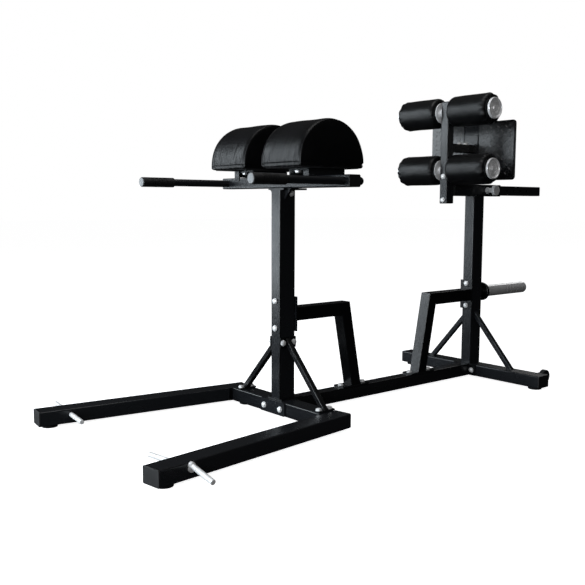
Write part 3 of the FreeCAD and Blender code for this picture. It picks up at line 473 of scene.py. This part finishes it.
# ---- hip pads ----------------------------------------------------------------------
PAD_START = 0.0025      # the skin starts this much smaller and swells back
PAD_EDGE = 0.008        # the wrap's drop where it turns into the end panels
PAD_TURN = 0.020        # width of the wrap that slopes down to the end panels
PAD_BAND = 0.018        # straight band under the half round
PAD_RISE = 0.0015       # the cover starts this much above the CAD solid's underside
PAD_GAP = 0.001         # room left to the CAD solid's other faces
PAD_VOXEL = 0.004
PAD_PRESSURE = 4.0
PAD_MOST = 0.007        # no point of the skin swells further than this
PAD_HELD = 0.006        # the underside is held up to this height
PIPING_HELD = 0.001     # the edges are held this far past the wrap's drop
SEWN_BAND = 0.014       # height of the seam that closes the wrap under the pad
SEAM_DEPTH = 0.0030
SEAM_WIDE = 0.0020
DRAG_DEPTH = 0.0016     # fine drag lines that fan out above the seam
DRAG_REACH = 0.10       # height above the seam where they have died out
WAVE_DEPTH = 0.0012     # slow unevenness of the whole wrap
PIPING_RADIUS = 0.0019
HALF_ROUND_STEPS = 64
PIPING_POINTS = HALF_ROUND_STEPS + 4    # the half round and the straight side below it


def half_round(x, low, high, inset):
    """D-shaped ring in the plane x, flat side down, moved inwards by inset."""
    steps = HALF_ROUND_STEPS
    middle = (low.y + high.y) / 2
    radius = (high.y - low.y) / 2 - inset
    spring = low.z + PAD_BAND
    base = low.z + PAD_RISE + inset
    ring = []
    for step in range(steps + 1):
        angle = math.pi * step / steps
        ring.append(Vector((x, middle + radius * math.cos(angle), spring + radius * math.sin(angle))))
    for share in (0.3, 0.65, 1.0):
        ring.append(Vector((x, middle - radius, spring + (base - spring) * share)))
    for step in range(1, steps // 2):
        ring.append(Vector((x, middle - radius + 4 * radius * step / steps, base)))
    for share in (0.0, 0.35, 0.7):
        ring.append(Vector((x, middle + radius, base + (spring - base) * share)))
    return ring


def pad_skin(low, high):
    """Closed half-round skin with rounded ends."""
    start = low.x + PAD_START
    near = [(start + PAD_TURN * (1 - math.cos(angle)), PAD_EDGE * (1 - math.sin(angle)))
            for angle in quarter_turn(7)]
    far = [(low.x + high.x - x, inset) for x, inset in reversed(near)]
    rings = [half_round(x, low, high, PAD_START + inset) for x, inset in near + far]
    return lofted(rings)


def near_piping(point, low, high):
    """Whether a point of the pad's skin is close to one of its two D-shaped edges."""
    middle = (low.y + high.y) / 2
    radius = (high.y - low.y) / 2
    spring = low.z + PAD_BAND
    if point.z > spring:
        depth = radius - math.hypot(point.y - middle, point.z - spring)
    else:
        depth = radius - abs(point.y - middle)
    from_end = min(point.x - low.x, high.x - point.x)
    return max(depth, from_end) < PAD_START + PAD_EDGE + PIPING_HELD


def pad_cover(low, high):
    """Swollen pad skin with a sewn lower band and soft drag lines above it."""

    def held(point):
        return point.z < low.z + PAD_HELD or near_piping(point, low, high)

    mesh = swell(pad_skin(low, high), PAD_VOXEL, held, PAD_PRESSURE, PAD_MOST)
    fit_to(mesh, low + Vector((PAD_GAP, PAD_GAP, PAD_RISE)), high - Vector((PAD_GAP, PAD_GAP, PAD_GAP)))
    seam = low.z + SEWN_BAND
    middle = (low.y + high.y) / 2

    def push(point):
        on_wrap = ease(abs(point.y - middle), 0.05, 0.10)
        groove = -SEAM_DEPTH * math.exp(-((point.z - seam) / SEAM_WIDE) ** 2) * on_wrap
        fade = 1.0 - ease(point.z, seam + 0.01, seam + DRAG_REACH)
        drag = noise.noise(Vector((point.x * 80, point.y * 9, point.z * 9)))
        wave = noise.noise(point * 13.0)
        return groove + drag * DRAG_DEPTH * fade * on_wrap + wave * WAVE_DEPTH

    ruffle(mesh, push)
    return mesh


def pad_piping(low, high, cover):
    """Welts laid on the cover along the edge of both end panels."""
    points = [vertex.co for vertex in cover.vertices]
    faces = [face.vertices for face in cover.polygons]
    skin = BVHTree.FromPolygons(points, faces)
    cords = []
    for x in (low.x, high.x):
        ring = half_round(x, low, high, 0.0)[:PIPING_POINTS]
        laid = [skin.find_nearest(point)[0] for point in ring]
        cords.append(welt("piping", laid, PIPING_RADIUS))
    return joined(cords)


def add_hip_pads():
    """The right pad, and its mirror image on the left."""
    low, high = place("hip_pad_right")
    right = pad_cover(low, high)
    piping = pad_piping(low, high, right)
    for side, matrix in (("right", Matrix.Identity(4)), ("left", mirror_x())):
        mesh = transformed(right, matrix)
        cover = new_piece("pad_cover_" + side, mesh, PAD_VINYL, "frame")
        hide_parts("hip_pad_" + side)
        mesh = transformed(piping, matrix)
        new_piece("pad_piping_" + side, mesh, VINYL, "frame")


# ---- ankle rollers -----------------------------------------------------------------
ROLLER_START = 0.003    # the skin starts this much smaller and swells back
ROLLER_PROUD = 0.0012   # room for the gathers inside the CAD radius
ROLLER_SLACK = 0.0005   # radial room to the CAD solid
ROLLER_GAP = 0.001      # room at each end
ROLLER_EDGE = 0.015     # radius of the drum's rounded ends
ROLLER_STEPS = 72
ROLLER_VOXEL = 0.0045
ROLLER_PRESSURE = 5.0
ROLLER_MOST = 0.0045    # no point of the skin swells further than this
ROLLER_HELD = 0.72      # the end faces are held up to this share of the radius
PUCKERS = 15
GATHER_DEPTH = 0.0017   # puckers round the outer end
INNER_DEPTH = 0.0005    # and the flatter ones round the inner end
CREASE_DEPTH = 0.0007
UPPER_TURN = 0.3        # each roller is turned differently, so that their creases differ
LOWER_TURN = 2.1
LEFT_TURN = 1.2


def roller_skin(radius, length):
    """Closed drum along X from 0 to length with rounded ends."""
    near = [(ROLLER_EDGE * (1 - math.cos(angle)), radius - ROLLER_EDGE * (1 - math.sin(angle)))
            for angle in quarter_turn(6)]
    far = [(length - x, reach) for x, reach in reversed(near)]
    rings = []
    for x, reach in near + far:
        ring = [Vector((x, reach * math.cos(angle), reach * math.sin(angle)))
                for angle in full_turn(ROLLER_STEPS)]
        rings.append(list(reversed(ring)))
    return lofted(rings)


def roller_cover(radius, length):
    """Padded roller whose cover is gathered round its outer end, at x = length."""

    def held(point):
        return math.hypot(point.y, point.z) < radius * ROLLER_HELD

    skin = roller_skin(radius - ROLLER_START, length - 2 * ROLLER_GAP)
    mesh = swell(skin, ROLLER_VOXEL, held, ROLLER_PRESSURE, ROLLER_MOST)
    full = radius - ROLLER_PROUD
    fit_to(mesh, Vector((ROLLER_GAP, -full, -full)), Vector((length - ROLLER_GAP, full, full)))

    def push(point):
        angle = math.atan2(point.z, point.y)
        phase = PUCKERS * angle + 1.6 * math.sin(3 * angle) + 0.8 * math.sin(2 * angle + 1.0)
        reach = math.hypot(point.y, point.z)
        to_end = ease(point.x, length - 0.034, length - 0.008)
        outer = to_end * ease(reach, radius * 0.62, radius * 0.82)
        uneven = 0.7 + 0.3 * math.sin(2 * angle)
        inner = 1.0 - ease(point.x, 0.004, 0.022)
        crease = noise.noise(Vector((point.x * 16, point.y * 30, point.z * 30)))
        gathers = math.cos(phase) * uneven * outer * GATHER_DEPTH
        return gathers + math.cos(1.5 * phase) * inner * INNER_DEPTH + crease * CREASE_DEPTH

    ruffle(mesh, push)
    return mesh


def add_rollers():
    """One swollen cover, copied to the four axle ends."""
    low, high = place("upper_roller_right")
    radius = (high.z - low.z) / 2
    right = roller_cover(radius - ROLLER_SLACK, high.x - low.x)
    for turn, level in ((UPPER_TURN, "upper"), (LOWER_TURN, "lower")):
        low, high = place(level + "_roller_right")
        centre = Vector((low.x, (low.y + high.y) / 2, (low.z + high.z) / 2))
        for side, matrix in (("right", Matrix.Identity(4)), ("left", mirror_x())):
            spin = Matrix.Rotation(turn if side == "right" else turn + LEFT_TURN, 4, "X")
            mesh = transformed(right, matrix @ Matrix.Translation(centre) @ spin)
            body = f"{level}_roller_{side}_body"
            cover = new_piece(f"{level}_roller_cover_{side}", mesh, VINYL, body)
            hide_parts(f"{level}_roller_{side}")


# ---- roller end caps ---------------------------------------------------------------
CAP_RADIUS = 0.042      # outer radius of the dished caps
CAP_DISH = 0.0030       # depth of the dish below the rim
CAP_BOLT = 0.0015       # the bolt's head stands this much above the rim
RIM_WIRE = 0.0030       # radius of the rolled rim
RIM_INSET = 0.0035      # its middle line stands this far inside the cap's edge
PRESSED_RINGS = ((0.52, 0.0014), (0.32, 0.0012))    # shares of the cap's radius, and ring radii
DIMPLES = 6
DIMPLE_RING = 0.66      # the dimples' circle, as a share of the cap's radius
DIMPLE_RADIUS = 0.0028
DIMPLE_RISE = 0.0012


def turned_ring(centre, outward, radius, wire, around_steps=72, wire_steps=12):
    """Round ring about the X axis whose middle line lies in the plane of centre."""
    rings = []
    for angle in full_turn(around_steps):
        rings.append([centre + spoke(angle) * (radius + wire * math.cos(turn))
                      + outward * (wire * math.sin(turn)) for turn in full_turn(wire_steps)])
    rings.append(rings[0])
    return lofted(rings, closed_ends=False)


def domed_disc(centre, outward, radius, rise, around_steps):
    """Shallow dome with a closed back, standing on the plane of centre."""
    rings = []
    for share in (1.0, 0.96, 0.8, 0.55, 0.28, 0.04):
        lift = outward * (rise * math.sqrt(1.0 - share * share))
        rings.append([centre + spoke(angle) * (radius * share) + lift for angle in full_turn(around_steps)])
    return lofted(rings)


def cap_trim(centre, outward):
    """Rolled rim, pressed ring and dimples that stand on the face of one outer cap."""
    dish = centre - outward * CAP_DISH
    meshes = [turned_ring(centre, outward, CAP_RADIUS - RIM_INSET, RIM_WIRE)]
    for share, wire in PRESSED_RINGS:
        meshes.append(turned_ring(dish, outward, CAP_RADIUS * share, wire))
    for angle in full_turn(DIMPLES):
        spot = dish + spoke(angle) * (CAP_RADIUS * DIMPLE_RING)
        meshes.append(domed_disc(spot, outward, DIMPLE_RADIUS, DIMPLE_RISE, 16))
    return joined(meshes)


def add_cap_trim():
    """One trim piece for both outer caps of a pair of rollers."""
    low, high = place("roller_end_caps")
    for level in ("upper", "lower"):
        roller_low, roller_high = place(level + "_roller_right")
        middle = (roller_low + roller_high) / 2
        trims = [cap_trim(Vector((face, middle.y, middle.z)), Vector((side, 0.0, 0.0)))
                 for face, side in ((high.x - CAP_BOLT, 1.0), (low.x + CAP_BOLT, -1.0))]
        new_piece("cap_trim_" + level, welded(joined(trims)), BRIGHT_RIM, "carriage")


# ---- foot plate tread --------------------------------------------------------------
TREAD_PITCH = 0.0190    # spacing of the lozenges
TREAD_HEIGHT = 0.0014   # height of a lozenge
TREAD_BAR = 0.0155      # its length
TREAD_BAR_WIDE = 0.0060
TREAD_INNER = 0.040     # the two halves leave this much free on each side of the arm
TREAD_MARGIN = 0.006    # plain edge round each half


def tread_bar(centre, slope):
    """Low chamfered lozenge standing on the tread's front face."""
    along = Vector((math.cos(slope), 0.0, math.sin(slope)))
    across = Vector((-math.sin(slope), 0.0, math.cos(slope)))
    outward = Vector((0.0, -1.0, 0.0))
    reach, wide = TREAD_BAR / 2, TREAD_BAR_WIDE / 2
    shoulder = 0.62 * reach
    base = [(reach, 0.0), (shoulder, wide), (-shoulder, wide),
            (-reach, 0.0), (-shoulder, -wide), (shoulder, -wide)]
    foot = [centre + along * a + across * b for a, b in base]
    top = [centre + along * (a * 0.78) + across * (b * 0.6) + outward * TREAD_HEIGHT for a, b in base]
    return foot, top


def tread_pattern(left, right, bottom, top, face):
    """Lozenges at alternating slopes, centred in a rectangle of the plane y = face."""
    points = []
    faces = []
    columns = int((right - left) / TREAD_PITCH)
    rows = int((top - bottom) / TREAD_PITCH)
    for column in range(columns):
        for row in range(rows):
            x = (left + right) / 2 + (column - (columns - 1) / 2) * TREAD_PITCH
            z = (bottom + top) / 2 + (row - (rows - 1) / 2) * TREAD_PITCH
            slope = math.radians(45 if (column + row) % 2 else -45)
            foot, crown = tread_bar(Vector((x, face, z)), slope)
            start = len(points)
            points += foot + crown
            for index in range(6):
                following = (index + 1) % 6
                faces.append((start + index, start + following,
                              start + 6 + following, start + 6 + index))
            faces.append(tuple(start + 6 + index for index in range(6)))
    mesh = bpy.data.meshes.new("tread")
    mesh.from_pydata(points, [], faces)
    builder = bmesh.new()
    builder.from_mesh(mesh)
    bmesh.ops.recalc_face_normals(builder, faces=builder.faces)
    builder.to_mesh(mesh)
    builder.free()
    return mesh


def add_treads():
    """Raised lozenges on both halves of the foot plate's tread."""
    low, high = place("foot_treads")
    inner = TREAD_INNER + TREAD_MARGIN
    bottom = low.z + TREAD_MARGIN
    top = high.z - TREAD_MARGIN
    halves = [tread_pattern(inner, high.x - TREAD_MARGIN, bottom, top, low.y),
              tread_pattern(low.x + TREAD_MARGIN, -inner, bottom, top, low.y)]
    tread = new_piece("tread_lozenges", joined(halves), TREAD_RUBBER, "carriage")
    tread.data.shade_flat()


# ---- studio ------------------------------------------------------------------------
CAMERA_PLACE = Vector((2.2096, -2.1711, 0.7546))
CAMERA_YAW = math.radians(50.30)
CAMERA_PITCH = math.radians(6.30)
CAMERA_ROLL = math.radians(0.21)
CAMERA_LENS = 49.82
HORIZON_LIGHT = 0.012   # the backdrop's light for every ray but the camera's
OVERHEAD_LIGHT = 0.15
FLOOR_GLOW = 0.92       # how much of the floor's white is its own
FLOOR_REACH = 30.0
DARK_FLOOR = (0.04, 0.04, 0.04)     # what every ray but the camera's meets
WHITE = (1.0, 1.0, 1.0)
COOL = (0.86, 0.94, 1.0)
SOFTBOXES = (           # name, place, aim, width, height, power in watts, colour
    ("key", (-3.4, -3.0, 2.2), (0, 0, 0.95), 1.3, 2.15, 80, COOL),
    ("low", (-3.4, -2.4, 0.4), (0, 0, 0.4), 1.4, 0.8, 27, COOL),
    ("strip", (-0.5, -4.4, 0.8), (0, 0, 0.8), 2.4, 1.5, 170, COOL),
    ("right", (3.2, -3.7, 1.5), (0, 0.2, 0.8), 1.0, 1.6, 45, WHITE),
    ("top", (0.4, -0.2, 3.6), (0, 0, 0.8), 2.4, 1.6, 30, WHITE),
    ("back", (-1.5, 4.2, 2.2), (0, 0.2, 0.7), 1.6, 1.6, 12, WHITE),
)


def add_camera():
    """Camera with its heading, its downward pitch and a small roll."""
    back = Vector((math.sin(CAMERA_YAW) * math.cos(CAMERA_PITCH),
                   -math.cos(CAMERA_YAW) * math.cos(CAMERA_PITCH),
                   math.sin(CAMERA_PITCH)))
    level = Vector((math.cos(CAMERA_YAW), math.sin(CAMERA_YAW), 0.0))
    lift = back.cross(level)
    right = level * math.cos(CAMERA_ROLL) + lift * math.sin(CAMERA_ROLL)
    up = lift * math.cos(CAMERA_ROLL) - level * math.sin(CAMERA_ROLL)
    lens = bpy.data.cameras.new("camera")
    lens.lens = CAMERA_LENS
    lens.sensor_width = 36.0
    camera = bpy.data.objects.new("camera", lens)
    SCENE.collection.objects.link(camera)
    turned = Matrix((right, up, back)).transposed().to_4x4()
    camera.matrix_world = Matrix.Translation(CAMERA_PLACE) @ turned
    SCENE.camera = camera


def add_softbox(name, where, target, width, height, power, colour):
    """Rectangular area light that faces its target."""
    light = bpy.data.lights.new(name, "AREA")
    light.shape = "RECTANGLE"
    light.size = width
    light.size_y = height
    light.energy = power
    light.color = colour
    lamp = bpy.data.objects.new(name, light)
    SCENE.collection.objects.link(lamp)
    lamp.location = where
    lamp.rotation_euler = (Vector(target) - Vector(where)).to_track_quat("-Z", "Y").to_euler()


def add_floor():
    """Floor that is white to the camera but throws hardly any light back on the object."""
    mesh = bpy.data.meshes.new("floor")
    reach = FLOOR_REACH
    corners = [(-reach, -reach, 0), (reach, -reach, 0), (reach, reach, 0), (-reach, reach, 0)]
    mesh.from_pydata(corners, [], [(0, 1, 2, 3)])
    floor = bpy.data.objects.new("floor", mesh)
    SCENE.collection.objects.link(floor)
    material, tree, shader = start_material("studio_floor", Roughness=0.9, Specular_IOR_Level=0.1,
                                            Emission_Color=(*WHITE, 1.0))
    haze = noise_field(tree, coordinates(tree), 1.5, 3.0)
    seen = add_node(tree, "LightPath").outputs["Is Camera Ray"]
    pale = mix_colour(tree, haze, (0.90, 0.90, 0.90), (0.94, 0.94, 0.94))
    tree.links.new(mix_colour(tree, seen, DARK_FLOOR, pale), shader.inputs["Base Color"])
    tree.links.new(remap(tree, seen, 0.0, 1.0, 0.0, FLOOR_GLOW), shader.inputs["Emission Strength"])
    mesh.materials.append(material)


def add_world():
    """Backdrop that is white to the camera, and lights dimly, mostly from overhead."""
    world = bpy.data.worlds.new("studio")
    SCENE.world = world
    world.use_nodes = True
    tree = world.node_tree
    background = tree.nodes["Background"]
    background.inputs["Color"].default_value = (*WHITE, 1.0)
    direction = add_node(tree, "TexCoord")
    split = add_node(tree, "SeparateXYZ")
    tree.links.new(direction.outputs["Generated"], split.inputs["Vector"])
    squared = add_node(tree, "Math", operation="MULTIPLY")
    tree.links.new(split.outputs["Z"], squared.inputs[0])
    tree.links.new(split.outputs["Z"], squared.inputs[1])
    sky = remap(tree, squared.outputs["Value"], 0.0, 1.0, HORIZON_LIGHT, OVERHEAD_LIGHT)
    seen = add_node(tree, "LightPath")
    choose = tree.nodes.new("ShaderNodeMix")
    tree.links.new(seen.outputs["Is Camera Ray"], choose.inputs["Factor"])
    tree.links.new(sky, choose.inputs["A"])
    choose.inputs["B"].default_value = 1.0
    tree.links.new(choose.outputs["Result"], background.inputs["Strength"])


def add_studio():
    """Camera, floor, backdrop and lights."""
    SCENE.view_settings.view_transform = "Standard"
    add_camera()
    add_floor()
    add_world()
    for softbox in SOFTBOXES:
        add_softbox(*softbox)


dress_frame()
add_hip_pads()
add_rollers()
add_cap_trim()
add_treads()
add_studio()
